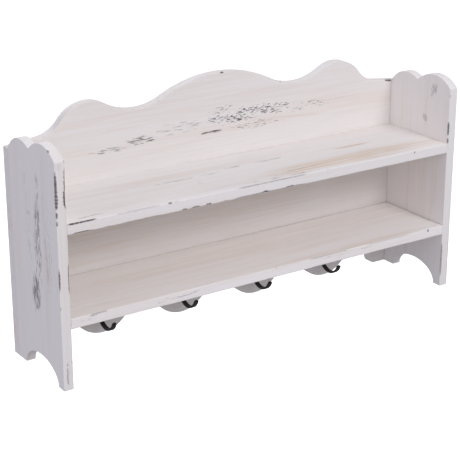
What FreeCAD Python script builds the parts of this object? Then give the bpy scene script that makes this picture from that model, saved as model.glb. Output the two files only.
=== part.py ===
import FreeCAD, Part
import math
import os

# Wall hook rack: a shaped back board, two side panels, two shelves and four strap hooks.
# Millimetres. The origin is under the middle of the rack on the level of its feet.
# X runs along the shelves, Y from the front edges (-) to the wall (+), Z up.

# ---- driving dimensions -------------------------------------------------------------------
WIDTH = 600.0
DEPTH = 134.0
HEIGHT = 320.0
BOARD = 13.0                    # thickness of every board
TOP_SHELF_TOP = 207.0
SHELF_PITCH = 117.0             # from the top of one shelf to the top of the other

FRONT_Y = -DEPTH / 2
WALL_Y = DEPTH / 2
BACK_Y = WALL_Y - BOARD         # front face of the back board
INNER_X = WIDTH / 2 - BOARD     # inner face of a side panel
SHELF_TOPS = {"top_shelf": TOP_SHELF_TOP, "lower_shelf": TOP_SHELF_TOP - SHELF_PITCH}

# Crest of the back board: a hump in the middle and a lobe on each side, joined by hollows.
HUMP_RADIUS = 185.0
LOBE_X = 190.0
LOBE_TOP = 309.5
LOBE_RADIUS = 49.0
HOLLOW = (122.0, 290.5)         # lowest point between hump and lobe
SHOULDER = (258.0, 274.0)       # where the outer hollow runs into the straight end
END_TOP = 269.0                 # height of the board's ends

# Scalloped lower edge of the back board.
SCALLOP_PITCH = 119.0
SCALLOP_COUNT = 4
SCALLOP_LOW = 1.5
SCALLOP_HIGH = 25.5
SCALLOP_SHIFT = -2.5            # the row sits a little left of the middle
FOOT_X = 259.0                  # inner side of the board's end feet
FOOT_CORNER = 10.0
FOOT_FILLET = 8.0

# Side panel: two lobes on top, an arch between its feet.
FRONT_LOBE = (33.0, 296.0, 46.0)    # distance behind the front edge, top, radius
REAR_LOBE = (88.0, 289.0, 38.0)
LOBE_FILLET = 6.0
ARCH_MIDDLE = 57.5              # distance behind the front edge
ARCH_HALF_WIDTH = 43.0
ARCH_HEIGHT = 26.0

# Strap hooks: a screwed plate that narrows into a strap bent to an open J. They are fitted by
# hand, so they are neither evenly spaced nor level. Heights are above a hook's own lowest point.
HOOK_PLACES = ((-187.5, 15.5), (-65.5, 17.5), (52.0, 17.0), (169.0, 14.5))
STRAP_WIDTH = 5.5
STRAP_THICK = 2.5
HOOK_RADIUS = 22.5              # outside of the bend
TIP_TOP = 17.0
PLATE_WIDTH = 14.0
PLATE_LOW = 27.0                # where the strap starts to widen
PLATE_TOP = 57.0
PLATE_CORNER = 5.0
HOOK_SCREW_ZS = (38.5, 50.5)

# Screws: head radius, head height, shank radius, length under the head.
HOOK_SCREW = (2.9, 1.9, 1.5, 12.0)
BACK_SCREW = (4.0, 2.2, 2.0, 36.0)
HANGER_SCREW = (2.8, 1.3, 1.3, 9.0)
RECESS_WIDTH = 0.8              # slot width of the cross recess
SUNK = 0.2                      # how far a countersunk head lies below its surface
PLAY = 0.05                     # radial clearance around screws and dowels
END_GAP = 0.5                   # room beyond the end of a screw or dowel in its bore

PANEL_SCREW_ZS = (34.0, 140.0, 245.0)
SHELF_SCREW_XS = (-190.0, 0.0, 190.0)

# Dowels between the shelves and the side panels.
DOWEL_RADIUS = 3.0
DOWEL_IN_PANEL = 9.0
DOWEL_IN_SHELF = 21.0
DOWEL_YS = (FRONT_Y + 30.0, FRONT_Y + 91.0)

# Keyhole hanger plates, let into the wall side of the back board.
HANGER_X = 200.0
HANGER_Z = 255.0
HANGER_WIDTH = 16.0
HANGER_LENGTH = 46.0
HANGER_THICK = 2.0
HANGER_SUNK = 0.3
HANGER_SCREW_OFFSET = 17.0
KEYHOLE_RADIUS = 4.5
KEYHOLE_DROP = 5.0              # entry hole below the plate's middle
SLOT_RADIUS = 2.3
SLOT_RISE = 6.0                 # end of the slot above the plate's middle
POCKET_DEPTH = 9.0              # room behind the plate for the wall screw's head
POCKET_WIDTH = 11.0
POCKET_LENGTH = 23.0


# ---- flat geometry ------------------------------------------------------------------------
def arc_about(centre, start, end):
    """The shorter arc from start to end about centre, as three points."""
    radius = math.dist(centre, start)
    half_u = (start[0] + end[0]) / 2 - centre[0]
    half_v = (start[1] + end[1]) / 2 - centre[1]
    reach = radius / math.hypot(half_u, half_v)
    return (start, (centre[0] + half_u * reach, centre[1] + half_v * reach), end)


def hollow(point, normal, lobe, lobe_radius):
    """A hollow through point, square to normal there, that runs smoothly into a lobe.

    Gives the hollow's centre and the point where it meets the lobe's circle.
    """
    away = (point[0] - lobe[0], point[1] - lobe[1])
    along = away[0] * normal[0] + away[1] * normal[1]
    radius = (away[0] ** 2 + away[1] ** 2 - lobe_radius ** 2) / (2 * (lobe_radius - along))
    centre = (point[0] + radius * normal[0], point[1] + radius * normal[1])
    return centre, point_between(lobe, centre, lobe_radius)


def point_between(a, b, distance):
    """The point at a distance from a towards b."""
    part = distance / math.dist(a, b)
    return (a[0] + (b[0] - a[0]) * part, a[1] + (b[1] - a[1]) * part)


def fillet_centre(left, left_radius, right, right_radius, fillet):
    """Centre of the fillet that lies on top of two circles."""
    span = math.dist(left, right)
    reach_left = left_radius + fillet
    reach_right = right_radius + fillet
    along = (reach_left ** 2 - reach_right ** 2 + span ** 2) / (2 * span)
    rise = math.sqrt(reach_left ** 2 - along ** 2)
    unit_u = (right[0] - left[0]) / span
    unit_v = (right[1] - left[1]) / span
    return (left[0] + along * unit_u - rise * unit_v, left[1] + along * unit_v + rise * unit_u)


def mirrored(outline):
    """The outline mirrored left to right and run the other way."""
    return [tuple((-u, v) for u, v in reversed(piece)) for piece in reversed(outline)]


def flat_face(outline, place):
    """A face from pieces of two points (a line) or three (an arc); place gives the 3-D point."""
    edges = []
    for piece in outline:
        points = [place(point) for point in piece]
        curve = Part.LineSegment(*points) if len(points) == 2 else Part.Arc(*points)
        edges.append(curve.toShape())
    return Part.Face(Part.Wire(edges))


def on_xz(y):
    return lambda point: FreeCAD.Vector(point[0], y, point[1])


def on_yz(x):
    return lambda point: FreeCAD.Vector(x, point[0], point[1])


def stadium(x, z, width, length):
    """Upright slot outline with round ends."""
    half = width / 2
    top = z + length / 2 - half
    low = z - length / 2 + half
    return [
        ((x + half, low), (x + half, top)),
        ((x + half, top), (x, top + half), (x - half, top)),
        ((x - half, top), (x - half, low)),
        ((x - half, low), (x, low - half), (x + half, low)),
    ]


def rod(start, direction, radius, length):
    return Part.makeCylinder(radius, length, FreeCAD.Vector(*start), FreeCAD.Vector(*direction))


def taper(start, direction, start_radius, end_radius, length):
    return Part.makeCone(
        start_radius, end_radius, length, FreeCAD.Vector(*start), FreeCAD.Vector(*direction)
    )


# ---- screws and dowels --------------------------------------------------------------------
def cross_recess(x, y, z, into, head_radius, depth):
    """Two crossed slots that a driver fits, from the face at y into the head."""
    reach = head_radius * 1.1
    low_y = min(y, y + into * depth)
    slots = []
    for wide, tall in ((reach, RECESS_WIDTH), (RECESS_WIDTH, reach)):
        corner = FreeCAD.Vector(x - wide / 2, low_y, z - tall / 2)
        slots.append(Part.makeBox(wide, depth, tall, corner))
    return slots[0].fuse(slots[1])


def countersunk_screw(x, z, face_y, size):
    """A screw driven from the wall side, its head just below the face at face_y."""
    head_radius, head_height, shank_radius, length = size
    top = face_y - SUNK
    point = 2 * shank_radius
    head = taper((x, top, z), (0, -1, 0), head_radius, shank_radius, head_height)
    shank = rod((x, top - head_height, z), (0, -1, 0), shank_radius, length - point)
    tip = taper((x, top - head_height - length + point, z), (0, -1, 0), shank_radius, 0.3, point)
    recess = cross_recess(x, top, z, -1, head_radius, head_height * 0.6)
    return head.fuse([shank, tip]).removeSplitter().cut(recess)


def countersunk_hole(x, z, face_y, size, clear_depth):
    """What a countersunk screw needs cut away, its shank running to clear_depth."""
    head_radius, head_height, shank_radius, _ = size
    slope = (head_radius - shank_radius) / head_height
    mouth_radius = head_radius + SUNK * slope + PLAY
    sink = taper(
        (x, face_y, z), (0, -1, 0), mouth_radius, shank_radius + PLAY, head_height + SUNK
    )
    return sink.fuse(rod((x, face_y, z), (0, -1, 0), shank_radius + PLAY, clear_depth))


def pan_head_screw(x, z, face_y, size):
    """A screw driven from the front, its domed head on the face at face_y."""
    head_radius, head_height, shank_radius, length = size
    point = 2 * shank_radius
    dome_radius = (head_radius ** 2 + head_height ** 2) / (2 * head_height)
    ball = Part.makeSphere(dome_radius, FreeCAD.Vector(x, face_y - head_height + dome_radius, z))
    head = rod((x, face_y, z), (0, -1, 0), head_radius, head_height).common(ball)
    shank = rod((x, face_y, z), (0, 1, 0), shank_radius, length - point)
    tip = taper((x, face_y + length - point, z), (0, 1, 0), shank_radius, 0.3, point)
    recess = cross_recess(x, face_y - head_height, z, 1, head_radius, head_height * 0.6)
    return head.fuse([shank, tip]).removeSplitter().cut(recess)


def back_screw_places():
    """Node name to the places (x, z) of its screws."""
    panel_x = INNER_X + BOARD / 2
    places = {
        "back_screws_left": [(-panel_x, z) for z in PANEL_SCREW_ZS],
        "back_screws_right": [(panel_x, z) for z in PANEL_SCREW_ZS],
    }
    for shelf, top in SHELF_TOPS.items():
        places["back_screws_" + shelf] = [(x, top - BOARD / 2) for x in SHELF_SCREW_XS]
    return places


def back_screw_bores():
    """Pilot bores of the back board's screws, for the panels and shelves behind it."""
    bores = []
    for places in back_screw_places().values():
        for x, z in places:
            depth = SUNK + BACK_SCREW[1] + BACK_SCREW[3] + END_GAP
            bores.append(rod((x, WALL_Y, z), (0, -1, 0), BACK_SCREW[2] + PLAY, depth))
    return Part.Compound(bores)


def dowels(shelf_top, side, grow=0.0, end_gap=0.0):
    """The dowels of one shelf end; side is -1 or 1. Grown, they are their own bores."""
    pieces = []
    length = DOWEL_IN_PANEL + DOWEL_IN_SHELF + 2 * end_gap
    for y in DOWEL_YS:
        start = (side * (INNER_X - DOWEL_IN_SHELF - end_gap), y, shelf_top - BOARD / 2)
        pieces.append(rod(start, (side, 0, 0), DOWEL_RADIUS + grow, length))
    return pieces


def dowel_bores(shelf_tops, sides):
    bores = []
    for top in shelf_tops:
        for side in sides:
            bores += dowels(top, side, PLAY, END_GAP)
    return bores


# ---- boards -------------------------------------------------------------------------------
def crest_outline():
    """Top edge of the back board, from its left end to its right end."""
    up = (0.0, 1.0)
    hump = (0.0, HEIGHT - HUMP_RADIUS)
    lobe = (LOBE_X, LOBE_TOP - LOBE_RADIUS)
    end = (WIDTH / 2, END_TOP)
    run = (end[0] - SHOULDER[0], end[1] - SHOULDER[1])
    square_to_run = (-run[1] / math.hypot(*run), run[0] / math.hypot(*run))
    inner, hump_edge = hollow(HOLLOW, up, hump, HUMP_RADIUS)
    outer, lobe_inside = hollow(HOLLOW, up, lobe, LOBE_RADIUS)
    shoulder, lobe_outside = hollow(SHOULDER, square_to_run, lobe, LOBE_RADIUS)
    right_half = [
        arc_about(hump, (0.0, HEIGHT), hump_edge),
        arc_about(inner, hump_edge, HOLLOW),
        arc_about(outer, HOLLOW, lobe_inside),
        arc_about(lobe, lobe_inside, lobe_outside),
        arc_about(shoulder, lobe_outside, SHOULDER),
        (SHOULDER, end),
    ]
    return mirrored(right_half) + right_half


def scallop_outline():
    """Lower edge of the back board, from its right end to its left end."""
    half = SCALLOP_PITCH / 2
    middle = (SCALLOP_LOW + SCALLOP_HIGH) / 2
    first = SCALLOP_SHIFT + half * (SCALLOP_COUNT - 1)
    bend_radius = (half ** 2 + (SCALLOP_HIGH - SCALLOP_LOW) ** 2) / (
        4 * (SCALLOP_HIGH - SCALLOP_LOW)
    )
    outline = foot_outline(first + half)
    centre = (first + half, SCALLOP_HIGH - bend_radius)
    outline.append(arc_about(centre, (first + half, SCALLOP_HIGH), (first + half / 2, middle)))
    for number in range(SCALLOP_COUNT):
        x = first - number * SCALLOP_PITCH
        outline.append(((x + half / 2, middle), (x, SCALLOP_LOW), (x - half / 2, middle)))
        if number < SCALLOP_COUNT - 1:
            valley = (x - half, SCALLOP_HIGH)
            outline.append(((x - half / 2, middle), valley, (x - 1.5 * half, middle)))
    last = SCALLOP_SHIFT - half * (SCALLOP_COUNT - 1) - half
    centre = (last, SCALLOP_HIGH - bend_radius)
    outline.append(arc_about(centre, (last + half / 2, middle), (last, SCALLOP_HIGH)))
    return outline + mirrored(foot_outline(-last))


def foot_outline(valley_x):
    """The right end foot of the back board, from its end to the last valley of the scallops."""
    corner = (FOOT_X + FOOT_CORNER, FOOT_CORNER)
    inner = (FOOT_X - FOOT_FILLET, SCALLOP_HIGH - FOOT_FILLET)
    return [
        ((WIDTH / 2, 0.0), (corner[0], 0.0)),
        arc_about(corner, (corner[0], 0.0), (FOOT_X, corner[1])),
        ((FOOT_X, corner[1]), (FOOT_X, inner[1])),
        arc_about(inner, (FOOT_X, inner[1]), (inner[0], SCALLOP_HIGH)),
        ((inner[0], SCALLOP_HIGH), (valley_x, SCALLOP_HIGH)),
    ]


def back_board():
    outline = crest_outline()
    outline.append(((WIDTH / 2, END_TOP), (WIDTH / 2, 0.0)))
    outline += scallop_outline()
    outline.append(((-WIDTH / 2, 0.0), (-WIDTH / 2, END_TOP)))
    board = flat_face(outline, on_xz(BACK_Y)).extrude(FreeCAD.Vector(0, BOARD, 0))
    cuts = []
    for places in back_screw_places().values():
        cuts += [countersunk_hole(x, z, WALL_Y, BACK_SCREW, BOARD) for x, z in places]
    for x, low in HOOK_PLACES:
        cuts += hook_screw_bores(x, low)
    for side in (-1, 1):
        cuts += hanger_cuts(side * HANGER_X)
    return board.cut(cuts)


def side_panel(side):
    """The left (-1) or right (1) panel."""
    front_lobe = (FRONT_Y + FRONT_LOBE[0], FRONT_LOBE[1] - FRONT_LOBE[2])
    rear_lobe = (FRONT_Y + REAR_LOBE[0], REAR_LOBE[1] - REAR_LOBE[2])
    valley = fillet_centre(front_lobe, FRONT_LOBE[2], rear_lobe, REAR_LOBE[2], LOBE_FILLET)
    valley_front = point_between(front_lobe, valley, FRONT_LOBE[2])
    valley_rear = point_between(rear_lobe, valley, REAR_LOBE[2])
    front_z = front_lobe[1] + math.sqrt(FRONT_LOBE[2] ** 2 - (front_lobe[0] - FRONT_Y) ** 2)
    rear_z = rear_lobe[1] + math.sqrt(REAR_LOBE[2] ** 2 - (BACK_Y - rear_lobe[0]) ** 2)
    outline = [
        ((FRONT_Y, 0.0), (FRONT_Y, front_z)),
        arc_about(front_lobe, (FRONT_Y, front_z), valley_front),
        arc_about(valley, valley_front, valley_rear),
        arc_about(rear_lobe, valley_rear, (BACK_Y, rear_z)),
        ((BACK_Y, rear_z), (BACK_Y, 0.0)),
        ((BACK_Y, 0.0), (FRONT_Y, 0.0)),
    ]
    start = INNER_X if side > 0 else -WIDTH / 2
    panel = flat_face(outline, on_yz(start)).extrude(FreeCAD.Vector(BOARD, 0, 0))
    cuts = [arch_cutter(start), back_screw_bores()]
    cuts += dowel_bores(SHELF_TOPS.values(), (side,))
    return panel.cut(cuts)


def arch_cutter(start):
    """An elliptic cylinder, longer than the panel is thick on both sides."""
    centre = FreeCAD.Vector(start - BOARD, FRONT_Y + ARCH_MIDDLE, 0)
    ellipse = Part.Ellipse(
        centre + FreeCAD.Vector(0, ARCH_HALF_WIDTH, 0),
        centre + FreeCAD.Vector(0, 0, ARCH_HEIGHT),
        centre,
    )
    return Part.Face(Part.Wire(ellipse.toShape())).extrude(FreeCAD.Vector(3 * BOARD, 0, 0))


def shelf(top):
    corner = FreeCAD.Vector(-INNER_X, FRONT_Y, top - BOARD)
    board = Part.makeBox(2 * INNER_X, BACK_Y - FRONT_Y, BOARD, corner)
    return board.cut([back_screw_bores()] + dowel_bores((top,), (-1, 1)))


# ---- hooks --------------------------------------------------------------------------------
def strap_outline(low):
    """The bent strap seen from the side: down the board, round the bend and up in front."""
    outer = HOOK_RADIUS
    inner = HOOK_RADIUS - STRAP_THICK
    middle = BACK_Y - outer
    bend = low + outer
    plate = low + PLATE_LOW
    return [
        ((BACK_Y, plate), (BACK_Y, bend)),
        ((BACK_Y, bend), (middle, bend - outer), (middle - outer, bend)),
        ((middle - outer, bend), (middle - inner, bend)),
        ((middle - inner, bend), (middle, bend - inner), (middle + inner, bend)),
        ((middle + inner, bend), (middle + inner, plate)),
        ((middle + inner, plate), (BACK_Y, plate)),
    ]


def tip_trim(x, low):
    """What is cut off the strap in front to give it a round end, its top at TIP_TOP."""
    half = STRAP_WIDTH / 2
    reach = HOOK_RADIUS
    front = BACK_Y - 2 * HOOK_RADIUS
    start = low + TIP_TOP - half
    corner = FreeCAD.Vector(x - STRAP_WIDTH, front, start)
    block = Part.makeBox(2 * STRAP_WIDTH, reach, HOOK_RADIUS, corner)
    return block.cut(rod((x, front, start), (0, 1, 0), half, reach))


def plate_outline(x, low):
    """The hook's plate seen from the front, narrowing to the strap below."""
    half = PLATE_WIDTH / 2
    strap = STRAP_WIDTH / 2
    start = low + PLATE_LOW
    shoulder = start + PLATE_CORNER
    top = low + PLATE_TOP
    right = [
        ((x + strap, start), (x + half, shoulder)),
        ((x + half, shoulder), (x + half, top - PLATE_CORNER)),
        arc_about(
            (x + half - PLATE_CORNER, top - PLATE_CORNER),
            (x + half, top - PLATE_CORNER),
            (x + half - PLATE_CORNER, top),
        ),
    ]
    left = [tuple((2 * x - u, v) for u, v in reversed(piece)) for piece in reversed(right)]
    upper_end = [((x + half - PLATE_CORNER, top), (x - half + PLATE_CORNER, top))]
    lower_end = [((x - strap, start), (x + strap, start))]
    return right + upper_end + left + lower_end


def hook(x, low):
    start_x = x - STRAP_WIDTH / 2
    across = FreeCAD.Vector(STRAP_WIDTH, 0, 0)
    strap = flat_face(strap_outline(low), on_yz(start_x)).extrude(across)
    front = BACK_Y - STRAP_THICK
    back = FreeCAD.Vector(0, STRAP_THICK, 0)
    plate = flat_face(plate_outline(x, low), on_xz(front)).extrude(back)
    body = strap.cut(tip_trim(x, low)).fuse(plate).removeSplitter()
    radius = HOOK_SCREW[2] + PLAY
    holes = [rod((x, front, low + z), (0, 1, 0), radius, STRAP_THICK) for z in HOOK_SCREW_ZS]
    return body.cut(holes)


def hook_screws(x, low):
    front = BACK_Y - STRAP_THICK
    return [pan_head_screw(x, low + z, front, HOOK_SCREW) for z in HOOK_SCREW_ZS]


def hook_screw_bores(x, low):
    depth = HOOK_SCREW[3] - STRAP_THICK + END_GAP
    radius = HOOK_SCREW[2] + PLAY
    return [rod((x, BACK_Y, low + z), (0, 1, 0), radius, depth) for z in HOOK_SCREW_ZS]


# ---- hangers ------------------------------------------------------------------------------
def hanger_face():
    """Height of the hanger plates' wall side: just below the board's."""
    return WALL_Y - HANGER_SUNK


def hanger_plate(x):
    front = hanger_face() - HANGER_THICK
    through = FreeCAD.Vector(0, HANGER_THICK, 0)
    outline = stadium(x, HANGER_Z, HANGER_WIDTH, HANGER_LENGTH)
    plate = flat_face(outline, on_xz(front)).extrude(through)
    slot_low = HANGER_Z - KEYHOLE_DROP
    slot_length = SLOT_RISE + KEYHOLE_DROP + SLOT_RADIUS
    slot_middle = slot_low + slot_length / 2
    slot = stadium(x, slot_middle, 2 * SLOT_RADIUS, slot_length)
    cuts = [
        rod((x, front, slot_low), (0, 1, 0), KEYHOLE_RADIUS, HANGER_THICK),
        flat_face(slot, on_xz(front)).extrude(through),
    ]
    for z in hanger_screw_zs():
        cuts.append(countersunk_hole(x, z, hanger_face(), HANGER_SCREW, HANGER_THICK))
    return plate.cut(cuts)


def hanger_screw_zs():
    return (HANGER_Z - HANGER_SCREW_OFFSET, HANGER_Z + HANGER_SCREW_OFFSET)


def hanger_cuts(x):
    """Seat of a hanger plate, the pocket behind its keyhole and its screws' bores."""
    into_board = FreeCAD.Vector(0, -1, 0)
    seat = stadium(x, HANGER_Z, HANGER_WIDTH + 4 * PLAY, HANGER_LENGTH + 4 * PLAY)
    pocket = stadium(x, HANGER_Z, POCKET_WIDTH, POCKET_LENGTH)
    cuts = [
        flat_face(seat, on_xz(WALL_Y)).extrude(into_board * (HANGER_SUNK + HANGER_THICK)),
        flat_face(pocket, on_xz(WALL_Y)).extrude(into_board * POCKET_DEPTH),
    ]
    depth = HANGER_SUNK + SUNK + HANGER_SCREW[1] + HANGER_SCREW[3] + END_GAP
    for z in hanger_screw_zs():
        cuts.append(rod((x, WALL_Y, z), (0, -1, 0), HANGER_SCREW[2] + PLAY, depth))
    return cuts


def hanger_screws(x):
    return [countersunk_screw(x, z, hanger_face(), HANGER_SCREW) for z in hanger_screw_zs()]


# ---- all pieces ---------------------------------------------------------------------------
def all_nodes():
    """Node name to its list of solids."""
    nodes = {
        "back_board": [back_board()],
        "side_panel_left": [side_panel(-1)],
        "side_panel_right": [side_panel(1)],
    }
    for name, top in SHELF_TOPS.items():
        nodes[name] = [shelf(top)]
        for side, word in ((-1, "left"), (1, "right")):
            nodes[name + "_dowels_" + word] = dowels(top, side)
    for number, (x, low) in enumerate(HOOK_PLACES, start=1):
        nodes["hook_%d" % number] = [hook(x, low)]
        nodes["hook_screws_%d" % number] = hook_screws(x, low)
    for name, places in back_screw_places().items():
        nodes[name] = [countersunk_screw(x, z, WALL_Y, BACK_SCREW) for x, z in places]
    for side, word in ((-1, "left"), (1, "right")):
        nodes["hanger_plate_" + word] = [hanger_plate(side * HANGER_X)]
        nodes["hanger_screws_" + word] = hanger_screws(side * HANGER_X)
    return nodes


os.makedirs("parts", exist_ok=True)
for name, solids in all_nodes().items():
    shape = solids[0] if len(solids) == 1 else Part.Compound(solids)
    shape.exportStep("parts/" + name + ".step")
    print(name, len(shape.Solids), "solid(s)", round(shape.Volume, 1), "mm3", shape.isValid())
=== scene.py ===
import math

import bmesh
import bpy
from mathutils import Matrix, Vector, noise
from mathutils.geometry import delaunay_2d_cdt, intersect_line_line_2d


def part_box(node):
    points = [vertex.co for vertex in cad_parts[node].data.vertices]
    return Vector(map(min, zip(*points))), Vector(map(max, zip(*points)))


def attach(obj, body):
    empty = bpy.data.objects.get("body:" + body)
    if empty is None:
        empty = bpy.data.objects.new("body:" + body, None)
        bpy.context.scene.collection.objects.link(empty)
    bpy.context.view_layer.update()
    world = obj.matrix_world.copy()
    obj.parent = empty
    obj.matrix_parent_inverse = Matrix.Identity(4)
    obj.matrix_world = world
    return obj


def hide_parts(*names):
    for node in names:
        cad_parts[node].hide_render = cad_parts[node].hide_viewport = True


# Wall hook rack: whitewashed boards with worn edges, dark strap hooks, zinc-plated fittings.
# The CAD frame is in metres. X runs along the shelves, Y towards the wall, Z up.
# Places and sizes in the tables of the boards are in millimetres.

MM = 0.001

# ---- boards -------------------------------------------------------------------------------------
# The axis through the thickness, the grain's axis, how much figure shows, how light the paint is.
# This lightness is partly paint and partly painted light and shade: the lower shelf, in the shade
# under the top shelf, is painted lighter, and the back board is painted darker.
BOARDS = {
    "back_board": (1, "X", 1.0, 0.92),
    "side_panel_left": (0, "Z", 0.5, 0.97),
    "side_panel_right": (0, "Z", 0.6, 0.96),
    "top_shelf": (2, "X", 0.8, 0.98),
    "lower_shelf": (2, "X", 0.85, 1.04),
}
OUTLINE_STEP = 1.2
EDGE_RADIUS = 0.9               # of an edge that hands and brushes reach
BUTTED_RADIUS = 0.6             # of an edge that meets another board
EDGE_STEPS = 4                  # strips across a rounded edge
FADE = 0.5                      # how far bare wood runs into the face beside an edge
CORNER_ANGLE = math.radians(40) # an outline that turns more than this has a corner there
CREASE_ANGLE = math.radians(38) # faces that meet at less than this are shaded as one
LONGEST_LOOP = 14               # points in a loop that an inset makes where it turns tightly
NICKED_ABOVE = 0.46             # level of the edge's noise above which the edge is nicked
SAME_PLACE = 1e-6               # metres

# An edge is open to wear in front of this y; behind it the board meets another one.
WORN_BEFORE_Y = {
    "back_board": 100,
    "side_panel_left": 50,
    "side_panel_right": 50,
    "top_shelf": -60,
    "lower_shelf": -60,
}

# How dark the joint line is where a board's edge meets another board.
JOINT_LINE = {
    "back_board": 0.0,
    "side_panel_left": 0.4,
    "side_panel_right": 0.4,
    "top_shelf": 0.2,
    "lower_shelf": 1.0,
}

# Chipped stretches of edge: place, half length, depth, and how dark the bare wood is.
CHIPS = {
    "back_board": (
        ((281, 54, 267), 8, 1.4, 1.0),
        ((3, 54, 320), 2.5, 1.2, 1.0),
    ),
    "side_panel_left": (
        ((-300, -67, 235), 9, 1.1, 0.9),
        ((-300, -67, 220), 4, 1.0, 0.9),
        ((-300, -67, 210), 2.5, 0.9, 0.8),
        ((-300, -52, 292), 3, 0.9, 0.6),
        ((-287, -67, 282), 2, 0.8, 0.9),
        ((-287, -67, 250), 27, 1.6, 0.9),
        ((-287, -67, 238), 12, 1.6, 1.0),
        ((-287, -67, 141), 20, 0.9, 0.9),
        ((-287, -67, 36), 2, 0.8, 0.8),
        ((-294, -67, 0), 7, 1.0, 0.7),
    ),
    "side_panel_right": (
        ((287, -67, 228), 10, 0.8, 0.9),
        ((287, -67, 211), 4, 0.8, 0.8),
        ((287, -67, 40), 26, 0.6, 0.6),
        ((300, -67, 211), 3, 1.0, 0.9),
        ((300, -67, 197), 2.5, 1.0, 0.9),
        ((300, -67, 61), 3, 1.0, 0.9),
        ((293, -67, 0), 6, 0.8, 0.6),
    ),
    "top_shelf": (
        ((-268, -67, 207), 20, 0.9, 1.0),
        ((-150, -67, 207), 3, 0.8, 0.9),
        ((14, -67, 207), 40, 0.4, 0.5),
        ((-130, -67, 194), 4, 1.2, 0.8),
        ((-115, -67, 194), 7, 1.0, 0.8),
        ((-96, -67, 194), 4, 1.4, 0.9),
        ((-35, -67, 194), 24, 0.7, 0.5),
        ((-12, -67, 194), 5, 1.6, 1.0),
        ((25, -67, 194), 7, 1.1, 0.9),
        ((-190, -67, 194), 30, 0.5, 0.3),
    ),
    "lower_shelf": (
        ((90, -67, 90), 35, 0.5, 0.35),
        ((190, -67, 90), 40, 0.4, 0.25),
        ((-250, -67, 90), 12, 0.6, 0.5),
    ),
}

# Marks on the faces: pattern, place, half size, cover and strength. Scratches follow the grain.
MARKS = {
    "back_board": (
        ("scratch", (-160, 54, 243), (36, 4, 5), 0.44, 0.70),
        ("scratch", (-116, 54, 249), (36, 4, 7), 0.50, 0.80),
        ("scratch", (-60, 54, 256), (64, 4, 14), 0.30, 0.35),
        ("scratch", (-12, 54, 243), (28, 4, 2.2), 0.72, 0.90),
        ("speckle", (2, 54, 262), (38, 4, 18), 0.40, 0.75),
        ("speckle", (34, 54, 259), (46, 4, 13), 0.48, 0.90),
        ("speckle", (82, 54, 260), (50, 4, 11), 0.45, 0.85),
        ("speckle", (130, 54, 257), (70, 4, 8), 0.36, 0.60),
        ("speckle", (50, 54, 243), (70, 4, 8), 0.30, 0.65),
    ),
    "side_panel_left": (
        ("scratch", (-300, -17, 208), (4, 10, 62), 0.56, 0.65),
        ("scratch", (-300, -14, 160), (4, 12, 60), 0.54, 0.60),
        ("blotch", (-300, -6, 100), (4, 13, 28), 0.45, 0.30),
        ("scratch", (-300, -6, 104), (4, 15, 38), 0.60, 0.75),
        ("scratch", (-300, -40, 170), (4, 18, 100), 0.34, 0.35),
        ("scratch", (-300, 10, 190), (4, 16, 100), 0.30, 0.35),
        ("blotch", (-294, -67, 276), (5, 3, 9), 0.40, 0.30),
        ("scratch", (-294, -67, 17), (2.2, 3, 20), 0.50, 0.60),
        ("speckle", (-294, -67, 36), (3, 3, 6), 0.50, 0.60),
    ),
    "side_panel_right": (
        ("blotch", (287, -35, 275), (4, 12, 17), 0.90, 0.32),
        ("blotch", (287, -22, 233), (4, 12, 8), 0.85, 0.30),
    ),
    "top_shelf": (
        ("scratch", (-85, 0, 207), (60, 3, 3), 0.48, 0.50),
        ("scratch", (30, 7, 207), (66, 3, 3), 0.48, 0.60),
        ("blotch", (-78, -22, 207), (9, 9, 3), 0.80, 0.40),
        ("blotch", (229, -67, 205), (2.4, 3, 2.4), 0.90, 0.80),
        ("scratch", (10, -60, 207), (75, 6, 3), 0.38, 0.50),
        ("scratch", (60, -50, 207), (70, 12, 3), 0.28, 0.55),
        ("scratch", (-245, -56, 207), (35, 6, 3), 0.34, 0.60),
    ),
    "lower_shelf": (
        ("blotch", (-257, -41, 90), (3, 3, 3), 0.80, 0.60),
        ("blotch", (260, -67, 88), (2.4, 3, 2.4), 0.90, 0.70),
        ("scratch", (-262, -67, 86), (30, 3, 5), 0.40, 0.55),
        ("scratch", (110, -67, 86), (70, 4, 5), 0.32, 0.50),
        ("scratch", (-150, -67, 84), (70, 4, 5), 0.28, 0.40),
    ),
}

# The patterns of the marks: fineness along and across the grain, detail, softness of the edge.
MARK_PATTERNS = {
    "scratch": ((70, 800, 800), 3.0, 0.20),
    "speckle": ((150, 780, 780), 3.0, 0.20),
    "blotch": ((60, 110, 110), 4.0, 0.60),
}

# Warm wood where the whitewash is thin, and painted shade: place, half size, strength. The patches
# over the whole compartment between the shelves (the back board's back wall, the right panel's inner
# side there, the lower shelf's top) are painted shade, warmer and darker all over.
WARM_WOOD_AND_SHADE = {
    "back_board": (
        # painted shade: the compartment's back wall, warmer and darker all over
        ((0, 54, 140), (330, 4, 56), 0.60),
        ((-150, 54, 232), (160, 4, 5), 0.35),
    ),
    "side_panel_left": (
        ((-300, -38, 145), (4, 3, 30), 0.8),
        ((-294, -67, 200), (9, 3, 110), 0.25),
    ),
    "side_panel_right": (
        ((287, 29, 240), (4, 3, 40), 0.7),
        # painted shade: the right panel's inner side within the compartment
        ((287, -10, 140), (4, 62, 48), 0.25),
    ),
    "top_shelf": (
        ((140, -45, 207), (170, 20, 3), 2.6),
        ((176, -2, 207), (36, 4, 3), 4.0),
        ((-150, -40, 207), (160, 8, 3), 0.3),
    ),
    "lower_shelf": (
        # painted shade: the lower shelf's whole top within the compartment
        ((0, -10, 90), (330, 70, 3), 0.25),
        ((130, -60, 90), (140, 7, 3), 1.2),
    ),
}

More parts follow.
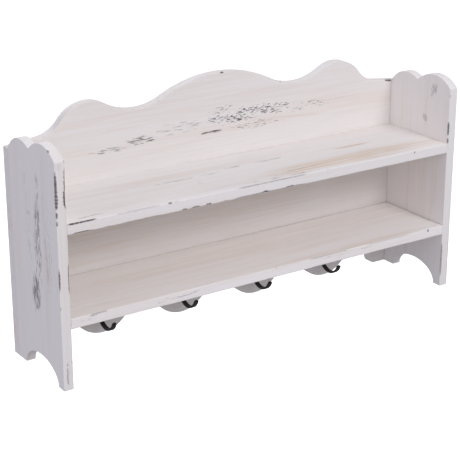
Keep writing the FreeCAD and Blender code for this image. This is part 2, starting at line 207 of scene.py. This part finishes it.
# ---- colours ------------------------------------------------------------------------------------
PAINT = (0.93, 0.895, 0.865, 1)
WOOD = (0.72, 0.565, 0.415, 1)
GROWTH_LINE = (0.55, 0.44, 0.34, 1)
BARE = (0.07, 0.05, 0.045, 1)
STAIN = (0.05, 0.045, 0.055, 1)
HOOK_METAL = (0.012, 0.010, 0.010, 1)
HOOK_RUBBED = (0.055, 0.040, 0.034, 1)
ZINC = (0.52, 0.53, 0.54, 1)
ZINC_DULL = (0.30, 0.30, 0.31, 1)
DOWEL = (0.58, 0.42, 0.26, 1)
DOWEL_DARK = (0.42, 0.27, 0.15, 1)

# ---- studio -------------------------------------------------------------------------------------
ABOVE = (0.51, 0.515, 0.56, 1)  # the studio's light from straight above
BELOW = (0.33, 0.328, 0.365, 1) # and from straight below

# A floor far below the rack: places in metres, and how much it shines by itself.
FLOOR_LEVEL = -0.9
FLOOR_REACH = 30
FLOOR_WHITE = (0.93, 0.93, 0.93, 1)
FLOOR_GLOW = 0.75

# Round soft lights: place and diameter in metres, power in watts, colour.
LIGHTS = {
    "key": ((0.4, -2.4, 1.95), 1.3, 39, (0.94, 0.944, 1.0)),
    "fill": ((-2.7, -0.6, 0.6), 1.6, 14, (0.78, 0.78, 1.0)),
    "rim": ((0.3, 2.6, 1.9), 1.6, 26, (0.94, 0.944, 1.0)),
}
RACK_MIDDLE = Vector((0, 0, 0.17))

# The camera: lens in millimetres for the sensor, place in metres.
SENSOR = 36
LENS = 109.1
CAMERA_PLACE = (-0.9583, -1.4020, 0.7454)
CAMERA_LOOKS_DOWN = math.radians(20.17)
CAMERA_LOOKS_RIGHT = math.radians(33.78)


# ---- shader building ----------------------------------------------------------------------------
COLOUR_A, COLOUR_B, COLOUR_RESULT = 6, 7, 2     # the colour sockets of a mix node
BOARD_SHIFT = (0.37, 0.61, 0.83)                # of the patterns, from one board to the next


class Graph:
    """One material's nodes, with a short way to add each kind that the materials need."""

    def __init__(self, name):
        self.material = bpy.data.materials.new(name)
        self.material.use_nodes = True
        self.tree = self.material.node_tree
        self.shader = self.tree.nodes["Principled BSDF"]

    def put(self, socket, value):
        if isinstance(value, bpy.types.NodeSocket):
            self.tree.links.new(value, socket)
        else:
            socket.default_value = value

    def point(self):
        return self.tree.nodes.new("ShaderNodeTexCoord").outputs["Object"]

    def math(self, operation, a, b=0.0):
        node = self.tree.nodes.new("ShaderNodeMath")
        node.operation = operation
        self.put(node.inputs[0], a)
        self.put(node.inputs[1], b)
        return node.outputs[0]

    def vector(self, operation, a, b):
        node = self.tree.nodes.new("ShaderNodeVectorMath")
        node.operation = operation
        self.put(node.inputs[0], a)
        self.put(node.inputs[1], b)
        return node.outputs["Value" if operation in ("LENGTH", "DOT_PRODUCT") else "Vector"]

    def along_grain(self, point, grain):
        """The point with its first coordinate along the grain."""
        if grain == "X":
            return point
        split = self.tree.nodes.new("ShaderNodeSeparateXYZ")
        join = self.tree.nodes.new("ShaderNodeCombineXYZ")
        self.put(split.inputs[0], point)
        for source, target in (("Z", "X"), ("Y", "Y"), ("X", "Z")):
            self.put(join.inputs[target], split.outputs[source])
        return join.outputs[0]

    def noise(self, point, stretch, detail=2.0, roughness=0.5):
        node = self.tree.nodes.new("ShaderNodeTexNoise")
        self.put(node.inputs["Vector"], self.vector("MULTIPLY", point, stretch))
        node.inputs["Scale"].default_value = 1.0
        node.inputs["Detail"].default_value = detail
        node.inputs["Roughness"].default_value = roughness
        return node.outputs["Fac"]

    def ease(self, value, low, high, to_low=0.0, to_high=1.0):
        """The value's smooth step from low to high, as to_low to to_high."""
        node = self.tree.nodes.new("ShaderNodeMapRange")
        node.interpolation_type = "SMOOTHSTEP"
        for socket, number in zip(node.inputs, (value, low, high, to_low, to_high)):
            self.put(socket, number)
        return node.outputs["Result"]

    def stretched(self, value):
        """Noise, which keeps near its middle, spread over the whole range from 0 to 1."""
        return self.ease(value, 0.33, 0.67)

    def mix(self, factor, a, b):
        node = self.tree.nodes.new("ShaderNodeMix")
        node.data_type = "RGBA"
        self.put(node.inputs[0], factor)
        self.put(node.inputs[COLOUR_A], a)
        self.put(node.inputs[COLOUR_B], b)
        return node.outputs[COLOUR_RESULT]

    def near(self, point, place, half_size):
        """1 around a place, falling smoothly to 0 a little beyond half_size from it."""
        away = self.vector("SUBTRACT", point, [v * MM for v in place])
        share = self.vector("DIVIDE", away, [v * MM for v in half_size])
        return self.ease(self.vector("LENGTH", share, (0, 0, 0)), 0.3, 1.2, 1.0, 0.0)

    def attribute(self, name):
        node = self.tree.nodes.new("ShaderNodeAttribute")
        node.attribute_name = name
        return node.outputs["Fac"]

    def bump(self, height, distance, strength):
        node = self.tree.nodes.new("ShaderNodeBump")
        node.inputs["Distance"].default_value = distance
        node.inputs["Strength"].default_value = strength
        self.put(node.inputs["Height"], height)
        self.put(self.shader.inputs["Normal"], node.outputs["Normal"])


def stains(g, marks, point, run):
    """How dark the marks are at a point; run is the point with the grain along its x."""
    patterns = {
        name: g.stretched(g.noise(run, fineness, detail, 0.6))
        for name, (fineness, detail, _) in MARK_PATTERNS.items()
    }
    clusters = g.math("MULTIPLY", g.stretched(g.noise(run, (25, 130, 130), 2.0)), 0.25)
    stained = 0.0
    for pattern, place, half_size, cover, strength in marks:
        level = g.math("ADD", g.math("MULTIPLY", patterns[pattern], 0.75), clusters)
        level = g.math("ADD", level, g.math("MULTIPLY", g.near(point, place, half_size), cover))
        softness = MARK_PATTERNS[pattern][2]
        mark = g.ease(level, 1.0, 1.0 + softness, 0.0, strength)
        stained = g.math("MAXIMUM", stained, mark)
    return stained


def whitewash(node, grain, figure_strength, tone, number):
    """Thin white paint brushed along the grain of a pale board, scuffed in places; its lightness and
    its warm patches over the compartment hold painted light and shade.
    """
    g = Graph("whitewash_" + node)
    point = g.point()
    apart = g.vector("ADD", point, [shift * number for shift in BOARD_SHIFT])
    run = g.along_grain(apart, grain)
    figure = g.noise(run, (0.6, 19, 19), 1.5)
    brushed = g.noise(run, (3.5, 85, 85), 3.0, 0.6)
    streaks = g.noise(run, (8.0, 330, 330), 4.0, 0.65)
    fibres = g.noise(run, (40, 1600, 1600), 2.0)

    thin = g.math("ADD", g.math("MULTIPLY", figure, 0.45), g.math("MULTIPLY", brushed, 0.55))
    thin = g.math("ADD", thin, g.math("MULTIPLY", streaks, 0.35))
    show = g.ease(thin, 0.60, 0.86, 0.02, 0.26 * figure_strength)
    # Warm patches: wood showing through thin paint, and painted shade over the compartment's
    # surfaces.
    for place, half_size, strength in WARM_WOOD_AND_SHADE[node]:
        broken = g.ease(streaks, 0.38, 0.62, 0.15 * strength, strength)
        patch = g.math("MULTIPLY", g.near(point, place, half_size), broken)
        show = g.math("ADD", show, g.math("MULTIPLY", patch, 0.38))
    # The board's lightness (tone) is partly paint and partly painted light and shade, set to offset
    # how much light the board gets.
    colour = g.mix(show, [tone * part for part in PAINT[:3]] + [1], WOOD)

    rings = g.math("PINGPONG", g.math("MULTIPLY", figure, 9.0), 0.5)
    line = g.ease(rings, 0.0, 0.09, 0.17 * figure_strength, 0.0)
    line = g.math("MULTIPLY", line, g.ease(brushed, 0.42, 0.66))
    colour = g.mix(line, colour, GROWTH_LINE)
    colour = g.mix(g.ease(fibres, 0.3, 0.7, 0.0, 0.08), colour, WOOD)

    stained = stains(g, MARKS[node], point, run)
    colour = g.mix(stained, colour, STAIN)
    colour = g.mix(g.attribute("bare"), colour, BARE)
    g.put(g.shader.inputs["Base Color"], colour)
    g.put(g.shader.inputs["Roughness"], g.ease(streaks, 0.3, 0.7, 0.52, 0.72))
    g.shader.inputs["Specular IOR Level"].default_value = 0.35

    relief = g.math("ADD", g.math("MULTIPLY", streaks, 0.7), g.math("MULTIPLY", fibres, 0.3))
    relief = g.math("SUBTRACT", relief, g.math("MULTIPLY", stained, 0.5))
    g.bump(relief, 0.0005, 0.35)
    return g.material


def dark_metal():
    """Black-brown cast metal, rubbed a little lighter where it is handled."""
    g = Graph("hook_dark_metal")
    point = g.point()
    grit = g.noise(point, (1400, 1400, 1400), 3.0, 0.6)
    cloud = g.noise(point, (160, 160, 160), 3.0)
    g.put(g.shader.inputs["Base Color"], g.mix(g.ease(cloud, 0.4, 0.75), HOOK_METAL, HOOK_RUBBED))
    g.put(g.shader.inputs["Roughness"], g.ease(cloud, 0.3, 0.7, 0.34, 0.52))
    g.shader.inputs["Metallic"].default_value = 0.55
    g.bump(grit, 0.0002, 0.3)
    return g.material


def zinc(name, polish):
    """Zinc-plated steel with a faint spangle."""
    g = Graph(name)
    point = g.point()
    spangle = g.noise(point, (450, 450, 450), 2.0, 0.7)
    drawn = g.noise(point, (2500, 2500, 260), 2.0)
    g.put(g.shader.inputs["Base Color"], g.mix(g.ease(spangle, 0.35, 0.7), ZINC, ZINC_DULL))
    g.put(g.shader.inputs["Roughness"], g.ease(spangle, 0.3, 0.7, polish, polish + 0.18))
    g.shader.inputs["Metallic"].default_value = 1.0
    g.bump(drawn, 0.0001, 0.25)
    return g.material


def dowel_wood():
    """Bare beech, its grain along the dowels."""
    g = Graph("dowel_beech")
    point = g.point()
    streaks = g.noise(point, (30, 700, 700), 4.0, 0.6)
    g.put(g.shader.inputs["Base Color"], g.mix(g.ease(streaks, 0.35, 0.7), DOWEL, DOWEL_DARK))
    g.put(g.shader.inputs["Roughness"], g.ease(streaks, 0.3, 0.7, 0.6, 0.8))
    g.bump(streaks, 0.0002, 0.3)
    return g.material


# ---- board meshes -------------------------------------------------------------------------------
def joined_mesh(node):
    """The CAD node's mesh with the vertices that it doubles joined."""
    mesh = bmesh.new()
    mesh.from_mesh(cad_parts[node].data)
    bmesh.ops.remove_doubles(mesh, verts=mesh.verts, dist=SAME_PLACE)
    mesh.normal_update()
    return mesh


def lies_at(part, axis, level):
    """Whether all the vertices of a face or an edge are at this level of the axis."""
    return all(abs(vertex.co[axis] - level) < SAME_PLACE for vertex in part.verts)


def flat_side(mesh, axis, level):
    """The faces that lie in the plane at this level of the axis."""
    return [face for face in mesh.faces if lies_at(face, axis, level)]


def closed_loops(edges):
    """The closed loops that the edges make, each as a list of its vertices."""
    beside = {}
    for edge in edges:
        a, b = edge.verts
        beside.setdefault(a, []).append(b)
        beside.setdefault(b, []).append(a)
    loops = []
    while beside:
        loop, here = [], next(iter(beside))
        while here:
            loop.append(here)
            here = next((vertex for vertex in beside.pop(here) if vertex in beside), None)
        loops.append(loop)
    return loops


def rim(faces):
    """The outline of a flat set of faces: the loop that reaches farthest from the origin."""
    inside = set(faces)
    edges = [
        edge for face in faces for edge in face.edges
        if sum(f in inside for f in edge.link_faces) == 1
    ]
    outer = max(closed_loops(edges), key=lambda loop: max(sum(map(abs, v.co)) for v in loop))
    return [vertex.co.copy() for vertex in outer]


def keep_hole_walls(mesh, sides):
    """Deletes the flat sides and the outer wall, which leaves only the walls of the holes."""
    bmesh.ops.delete(mesh, geom=sides, context="FACES")
    left = set(mesh.faces)
    groups = []
    while left:
        group, front = set(), [left.pop()]
        while front:
            face = front.pop()
            group.add(face)
            near = {f for edge in face.edges for f in edge.link_faces} & left
            left -= near
            front += near
        groups.append(group)
    outer = max(groups, key=lambda faces: sum(f.calc_area() for f in faces))
    outer_wall = [face for face in mesh.faces if face in outer]
    bmesh.ops.delete(mesh, geom=outer_wall, context="FACES")


def counter_clockwise(points):
    """The outline, run the other way round if it was clockwise."""
    area = sum(a.cross(b) for a, b in zip(points, points[1:] + points[:1]))
    return points if area > 0 else points[::-1]


def softened(points, radius):
    """The outline with each sharp corner cut to a small round of about this radius."""
    result = []
    for i, corner in enumerate(points):
        before = points[i - 1] - corner
        after = points[(i + 1) % len(points)] - corner
        if before.angle(-after) < CORNER_ANGLE:
            result.append(corner)
            continue
        start = corner + before.normalized() * radius
        end = corner + after.normalized() * radius
        for share in (0.0, 0.25, 0.5, 0.75, 1.0):
            first = start.lerp(corner, share)
            second = corner.lerp(end, share)
            result.append(first.lerp(second, share))
    return result


def resampled(points, step):
    """The outline as a smooth curve through its points, with points about a step apart."""
    result = []
    for i in range(len(points)):
        before, here, there, after = (points[(i + k - 1) % len(points)] for k in range(4))
        length = (there - here).length
        leaving = (there - before).normalized() * length
        arriving = (after - here).normalized() * length
        count = max(1, round(length / step))
        for k in range(count):
            t = k / count
            result.append(
                here * (2 * t ** 3 - 3 * t ** 2 + 1)
                + leaving * (t ** 3 - 2 * t ** 2 + t)
                + there * (3 * t ** 2 - 2 * t ** 3)
                + arriving * (t ** 3 - t ** 2)
            )
    return result


def inward(points):
    """For each point the way into the board, as long as it takes to move both sides by one."""
    least_square = 0.4      # keeps the way short where the outline turns sharply
    result = []
    for i, here in enumerate(points):
        before = (here - points[i - 1]).normalized()
        after = (points[(i + 1) % len(points)] - here).normalized()
        normal = Vector((-before.y - after.y, before.x + after.x)) / 2
        result.append(normal / max(normal.length_squared, least_square))
    return result


def untangled(points):
    """The row with each small loop in it drawn together at the point where it crosses itself."""
    count = len(points)
    for i in range(count):
        for length in range(LONGEST_LOOP, 1, -1):
            ends = [points[k % count] for k in (i, i + 1, i + length, i + length + 1)]
            crossing = intersect_line_line_2d(*ends)
            if crossing:
                for k in range(i + 1, i + length + 1):
                    points[k % count] = crossing
                break
    return points


def within(value, low, high):
    """The value, or the nearer limit where it is past one."""
    return min(max(value, low), high)


def fill_flat(mesh, outline, holes, u, v):
    """Fills a flat side with triangles, inside its outline and outside its convex holes.

    A triangle whose corners all belong to one hole lies in that hole, so it is left out.
    """
    ends, owners, pairs = [], [], []
    for number, loop in enumerate([outline] + holes):
        first, count = len(ends), len(loop)
        ends += loop
        owners += [number] * count
        pairs += [(first + k, first + (k + 1) % count) for k in range(count)]
    spots = [Vector((vertex.co[u], vertex.co[v])) for vertex in ends]
    inside_only, closeness = 1, 1e-7
    result = delaunay_2d_cdt(spots, pairs, [], inside_only, closeness)
    triangles, sources = result[2], result[3]
    for triangle in triangles:
        picked = [sources[i][0] for i in triangle]
        loops = {owners[i] for i in picked}
        if len(loops) > 1 or loops == {0}:
            mesh.faces.new([ends[i] for i in picked])


def join_rows(mesh, rows):
    """The faces between each row of vertices and the next, all the way round."""
    for row, above in zip(rows, rows[1:]):
        for i in range(len(row)):
            around = dict.fromkeys((row[i - 1], row[i], above[i], above[i - 1]))
            if len(around) > 2:
                mesh.faces.new(tuple(around))


def close_side(mesh, row, axis, level):
    """Fills the flat side within its outermost row, with the holes left open."""
    outer = dict.fromkeys(row)
    hole_edges = [
        edge for edge in mesh.edges
        if edge.is_boundary and lies_at(edge, axis, level)
        and not all(vertex in outer for vertex in edge.verts)
    ]
    u, v = [k for k in range(3) if k != axis]
    fill_flat(mesh, list(outer), closed_loops(hole_edges), u, v)


def shade_smoothly(mesh):
    """Faces the mesh outwards and shades it smoothly between its creases."""
    bmesh.ops.recalc_face_normals(mesh, faces=mesh.faces)
    for face in mesh.faces:
        face.smooth = True
    for edge in mesh.edges:
        edge.smooth = edge.calc_face_angle(math.pi) < CREASE_ANGLE


def edge_wear(node, point):
    """How round the edge is worn at a point, in metres, and how bare of paint it is."""
    if point.y > WORN_BEFORE_Y[node] * MM:
        return BUTTED_RADIUS * MM, JOINT_LINE[node]
    ragged = 0.5 + 0.5 * noise.noise(point * 700)
    radius = EDGE_RADIUS + 0.3 * noise.noise(point * 40) + 0.2 * (ragged - 0.5)
    bare = 0.0
    nick = noise.noise(point * 90 + Vector((3, 7, 1))) - NICKED_ABOVE
    if nick > 0:
        radius += 2.5 * nick
        bare = min(0.5, 4.0 * nick) * ragged
    for place, half_length, depth, dark in CHIPS[node]:
        reach = 1 - (point / MM - Vector(place)).length / half_length
        if reach > 0:
            radius += depth * min(1.0, 2.5 * reach) * (0.35 + 0.9 * ragged)
            bare = max(bare, dark * min(1.0, 4 * reach) * min(1.0, 0.25 + 1.4 * ragged))
    return radius * MM, bare


def rounded_board(node, axis):
    """The board rebuilt from its CAD outline, with worn edges and the CAD's own holes."""
    box_low, box_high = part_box(node)
    low, high = box_low[axis], box_high[axis]
    u, v = [k for k in range(3) if k != axis]
    mesh = joined_mesh(node)
    sides = {level: flat_side(mesh, axis, level) for level in (low, high)}
    outline = counter_clockwise([Vector((p[u], p[v])) for p in rim(sides[low])])
    keep_hole_walls(mesh, sides[low] + sides[high])

    butted = WORN_BEFORE_Y[node] < 0
    outline = softened(outline, (BUTTED_RADIUS if butted else EDGE_RADIUS) * MM)
    outline = resampled(outline, OUTLINE_STEP * MM)
    inside = inward(outline)
    bare_layer = mesh.verts.layers.float.new("bare")

    def in_space(flat_point, level):
        """The outline's point at this level of the board's axis."""
        spot = Vector((0, 0, 0))
        spot[u], spot[v], spot[axis] = flat_point.x, flat_point.y, level
        return spot

    def ring(level, turn, fade_in=0.0, fade_down=0.0):
        """One row of vertices: turn is 0 on the flat side and a right angle on the edge."""
        towards = 1 if level == low else -1
        worn_through = 0.0 if fade_in or fade_down else min(1.0, 0.5 + math.sin(2 * turn))
        flat, levels, bares = [], [], []
        for here, into in zip(outline, inside):
            radius, bare = edge_wear(node, in_space(here, level))
            flat.append(here + into * (radius * (1 - math.sin(turn)) + fade_in))
            levels.append(level + towards * (radius * (1 - math.cos(turn)) + fade_down))
            bares.append(bare * worn_through)
        row, made = [], {}
        for here, height, bare in zip(untangled(flat), levels, bares):
            if tuple(here) not in made:
                vertex = mesh.verts.new(map(within, in_space(here, height), box_low, box_high))
                vertex[bare_layer] = bare
                made[tuple(here)] = vertex
            row.append(made[tuple(here)])
        return row

    def rounded_edge(level):
        """The rows from the flat side, round the edge and a little way down the edge's side."""
        turns = [math.pi / 2 * k / EDGE_STEPS for k in range(EDGE_STEPS + 1)]
        rows = [ring(level, 0.0, fade_in=FADE * MM)]
        rows += [ring(level, turn) for turn in turns]
        return rows + [ring(level, turns[-1], fade_down=FADE * MM)]

    rows = rounded_edge(low) + rounded_edge(high)[::-1]
    join_rows(mesh, rows)
    close_side(mesh, rows[0], axis, low)
    close_side(mesh, rows[-1], axis, high)
    shade_smoothly(mesh)
    return mesh


def make_board(node, axis, material):
    """Puts the rebuilt board in the CAD board's place."""
    mesh = rounded_board(node, axis)
    data = bpy.data.meshes.new(node + "_wood")
    mesh.to_mesh(data)
    mesh.free()
    data.materials.append(material)
    piece = bpy.data.objects.new(node + "_wood", data)
    bpy.context.scene.collection.objects.link(piece)
    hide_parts(node)
    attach(piece, "root")


# ---- fittings: CAD nodes with eased edges -------------------------------------------------------
EASED_ANGLE = math.radians(35)  # faces that meet at more than this have an edge to ease


def ease_edges(piece, width):
    """Rounds the piece's sharp edges by a width in millimetres."""
    bevel = piece.modifiers.new("eased edges", "BEVEL")
    bevel.width = width * MM
    bevel.segments = 3
    bevel.limit_method = "ANGLE"
    bevel.angle_limit = EASED_ANGLE
    smooth = piece.modifiers.new("even shading", "WEIGHTED_NORMAL")
    smooth.keep_sharp = True


def dress(node, material, edge_width):
    """Gives a CAD node its material and eased edges."""
    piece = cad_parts[node]
    piece.data.materials.clear()
    piece.data.materials.append(material)
    ease_edges(piece, edge_width)


# ---- stage --------------------------------------------------------------------------------------
def add_floor():
    """A plain pale floor well below the rack, as the rack hangs on a wall."""
    material = bpy.data.materials.new("floor_white")
    material.use_nodes = True
    shader = material.node_tree.nodes["Principled BSDF"]
    shader.inputs["Base Color"].default_value = FLOOR_WHITE
    shader.inputs["Roughness"].default_value = 0.9
    shader.inputs["Emission Color"].default_value = (1, 1, 1, 1)
    shader.inputs["Emission Strength"].default_value = FLOOR_GLOW
    data = bpy.data.meshes.new("floor")
    signs = ((-1, -1), (1, -1), (1, 1), (-1, 1))
    square = [(x * FLOOR_REACH, y * FLOOR_REACH, FLOOR_LEVEL) for x, y in signs]
    data.from_pydata(square, [], [(0, 1, 2, 3)])
    data.materials.append(material)
    floor = bpy.data.objects.new("floor", data)
    floor.visible_diffuse = False
    floor.visible_glossy = False
    bpy.context.scene.collection.objects.link(floor)


def add_sky():
    """A pale studio all round, brighter above."""
    world = bpy.data.worlds.new("studio")
    world.use_nodes = True
    tree = world.node_tree
    direction = tree.nodes.new("ShaderNodeTexCoord").outputs["Generated"]
    split = tree.nodes.new("ShaderNodeSeparateXYZ")
    share = tree.nodes.new("ShaderNodeMapRange")
    share.inputs["From Min"].default_value = -1
    tone = tree.nodes.new("ShaderNodeMix")
    tone.data_type = "RGBA"
    tone.inputs[COLOUR_A].default_value = BELOW
    tone.inputs[COLOUR_B].default_value = ABOVE
    tree.links.new(direction, split.inputs[0])
    tree.links.new(split.outputs["Z"], share.inputs["Value"])
    tree.links.new(share.outputs["Result"], tone.inputs[0])
    tree.links.new(tone.outputs[COLOUR_RESULT], tree.nodes["Background"].inputs["Color"])
    bpy.context.scene.world = world


def add_light(name, place, size, power, colour):
    """A round soft light that faces the middle of the rack."""
    data = bpy.data.lights.new(name, "AREA")
    data.shape = "DISK"
    data.size = size
    data.energy = power
    data.color = colour
    light = bpy.data.objects.new(name, data)
    light.location = place
    towards = RACK_MIDDLE - Vector(place)
    light.rotation_euler = towards.to_track_quat("-Z", "Y").to_euler()
    bpy.context.scene.collection.objects.link(light)


def add_camera():
    """A long lens that looks down on the rack from the front left."""
    data = bpy.data.cameras.new("camera")
    data.sensor_width = SENSOR
    data.lens = LENS
    data.clip_end = 100
    camera = bpy.data.objects.new("camera", data)
    camera.location = CAMERA_PLACE
    camera.rotation_euler = (math.pi / 2 - CAMERA_LOOKS_DOWN, 0, -CAMERA_LOOKS_RIGHT)
    bpy.context.scene.collection.objects.link(camera)
    bpy.context.scene.camera = camera


# ---- the scene ----------------------------------------------------------------------------------
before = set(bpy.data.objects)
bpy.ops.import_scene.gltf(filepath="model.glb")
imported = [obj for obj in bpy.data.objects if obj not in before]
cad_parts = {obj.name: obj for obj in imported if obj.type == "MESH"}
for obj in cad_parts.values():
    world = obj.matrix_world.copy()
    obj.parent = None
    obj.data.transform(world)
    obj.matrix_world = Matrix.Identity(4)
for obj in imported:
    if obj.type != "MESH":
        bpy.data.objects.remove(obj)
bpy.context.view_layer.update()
bpy.context.scene.view_settings.view_transform = "Standard"

for number, (name, (thickness_axis, grain_axis, figure_strength, tone)) in enumerate(BOARDS.items()):
    wood = whitewash(name, grain_axis, figure_strength, tone, number)
    make_board(name, thickness_axis, wood)

hook_material = dark_metal()
# Part of the name, material and width of the eased edges; the first entry that fits counts.
fittings = (
    ("hook_screws", hook_material, 0.15),
    ("hook", hook_material, 0.4),
    ("hanger_plate", zinc("hanger_zinc", 0.38), 0.25),
    ("screws", zinc("screw_zinc", 0.25), 0.1),
    ("dowels", dowel_wood(), 0.6),
)
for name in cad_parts:
    for part_of_name, material, edge_width in fittings:
        if part_of_name in name:
            dress(name, material, edge_width)
            break

add_floor()
add_sky()
for name, (place, size, power, colour) in LIGHTS.items():
    add_light(name, place, size, power, colour)
add_camera()
